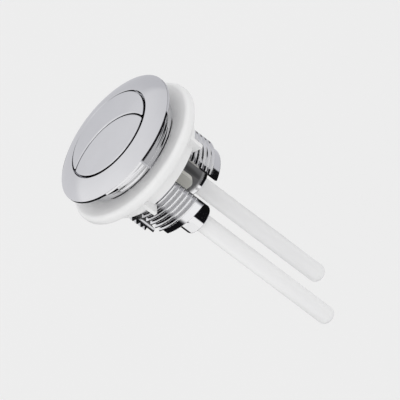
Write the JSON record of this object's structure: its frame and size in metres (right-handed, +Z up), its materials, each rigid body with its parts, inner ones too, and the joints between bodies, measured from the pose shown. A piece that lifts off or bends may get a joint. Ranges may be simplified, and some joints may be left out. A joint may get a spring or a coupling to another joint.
{
  "type": "push button cistern actuator",
  "caption": "Round dual flush push button for a cistern lid: domed chrome bezel with sprung lens and crescent buttons, slotted threaded barrel, white back nut and push rods.",
  "frame": {"origin": "on the button axis, in the plane of the rim's underside, where it rests on the cistern lid", "axes": "+Z up out of the button face, -Y towards the lens shaped button, +Y towards the crescent shaped button"},
  "size_m": [0.0634, 0.0634, 0.1212],
  "materials": {
    "bezel_chrome": "polished chrome plate on moulded plastic",
    "button_chrome": "polished chrome plate on moulded plastic",
    "socket_chrome": "polished chrome plate on moulded plastic",
    "rod_plastic": "satin white moulded plastic",
    "nut_plastic": "satin white moulded plastic",
    "guide_plastic": "natural cream moulded plastic",
    "spring_steel": "drawn spring wire"
  },
  "bodies": {
    "housing": {"bezel_body": "bezel_chrome", "guide_plate": "guide_plastic", "full_flush_spring": "spring_steel", "half_flush_spring": "spring_steel"},
    "full_flush": {"full_flush_button": "button_chrome", "full_flush_socket": "socket_chrome"},
    "half_flush": {"half_flush_button": "button_chrome", "half_flush_socket": "socket_chrome"},
    "full_rod": {"full_flush_rod": "rod_plastic"},
    "half_rod": {"half_flush_rod": "rod_plastic"},
    "nut": {"back_nut": "nut_plastic"}
  },
  "joints": [
    {"name": "full_flush_press", "type": "slide", "parent": "housing", "child": "full_flush", "axis": [0, 0, -1], "range_m": [0, 0.006], "stiffness_N_per_m": 500, "springref_m": -0.006, "deforming": ["full_flush_spring"]},
    {"name": "half_flush_press", "type": "slide", "parent": "housing", "child": "half_flush", "axis": [0, 0, -1], "range_m": [0, 0.006], "stiffness_N_per_m": 500, "springref_m": -0.006, "deforming": ["half_flush_spring"]},
    {"name": "full_rod_adjust", "type": "slide", "parent": "full_flush", "child": "full_rod", "axis": [0, 0, -1], "range_m": [0, 0.008]},
    {"name": "half_rod_adjust", "type": "slide", "parent": "half_flush", "child": "half_rod", "axis": [0, 0, -1], "range_m": [0, 0.008]},
    {"name": "nut_travel", "type": "slide", "parent": "housing", "child": "nut", "axis": [0, 0, -1], "range_m": [0, 0.015]}
  ]
}
